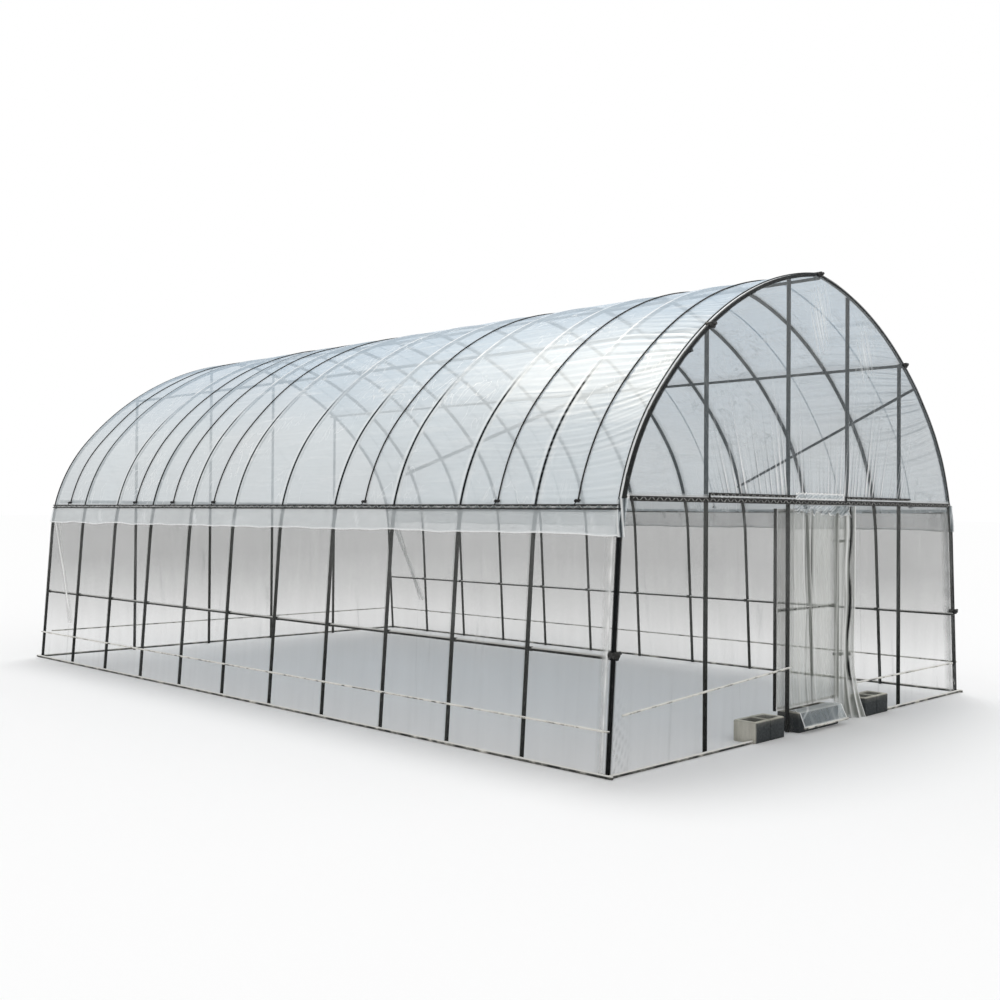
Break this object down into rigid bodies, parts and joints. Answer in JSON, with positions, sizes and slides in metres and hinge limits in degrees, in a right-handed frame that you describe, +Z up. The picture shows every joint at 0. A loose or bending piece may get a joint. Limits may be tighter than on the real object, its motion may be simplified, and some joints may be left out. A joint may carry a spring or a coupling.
{
  "type": "polytunnel greenhouse",
  "caption": "Walk-in polytunnel of bent steel hoops and long rails under clear film, with flat film end walls, a hinged film door and a sill of hollow blocks.",
  "frame": {"origin": "middle of the tunnel's footprint, on the ground", "axes": "+Z up, +Y along the tunnel from the door end to the rear, +X to the right as seen from outside the door"},
  "size_m": [5.0816, 8.12, 3.4899],
  "materials": {
    "tube": "satin",
    "film_wrapped_tube": "satin",
    "lock_channel": "satin",
    "film": "gloss",
    "rope": "matte",
    "concrete": "matte"
  },
  "bodies": {
    "frame": {"door_hinges": "tube", "door_jamb_left": "tube", "door_jamb_right": "tube", "end_skirt_rails": "film_wrapped_tube", "front_base_rails": "film_wrapped_tube", "front_film_left": "film", "front_film_right": "film", "front_gable_film": "film", "front_lock_channel": "lock_channel", "front_post_left": "tube", "front_post_right": "tube", "hem_flaps": "film", "hoop_01": "tube", "hoop_02": "tube", "hoop_03": "tube", "hoop_04": "tube", "hoop_05": "tube", "hoop_06": "tube", "hoop_07": "tube", "hoop_08": "tube", "hoop_09": "tube", "hoop_10": "tube", "hoop_11": "tube", "hoop_12": "tube", "left_side_film": "film", "mid_rails": "tube", "press_ropes": "rope", "rear_base_rail": "film_wrapped_tube", "rear_film": "film", "rear_lock_channel": "lock_channel", "rear_posts": "tube", "ridge_purlin": "tube", "right_side_film": "film", "roof_film": "film", "short_channels": "lock_channel", "side_base_rails": "film_wrapped_tube", "side_lock_channels": "lock_channel", "side_purlins": "tube", "side_skirt_rails": "film_wrapped_tube", "sill_blocks": "concrete", "sill_flap": "film", "wind_braces": "tube"},
    "door": {"door_stiles": "tube", "door_rails": "tube", "door_film": "film"}
  },
  "joints": [
    {"name": "door_swing", "type": "hinge", "parent": "frame", "child": "door", "pos_m": [0.443, -3.9339, 0.9], "axis": [0, 0, -1], "range_deg": [0, 100]}
  ]
}
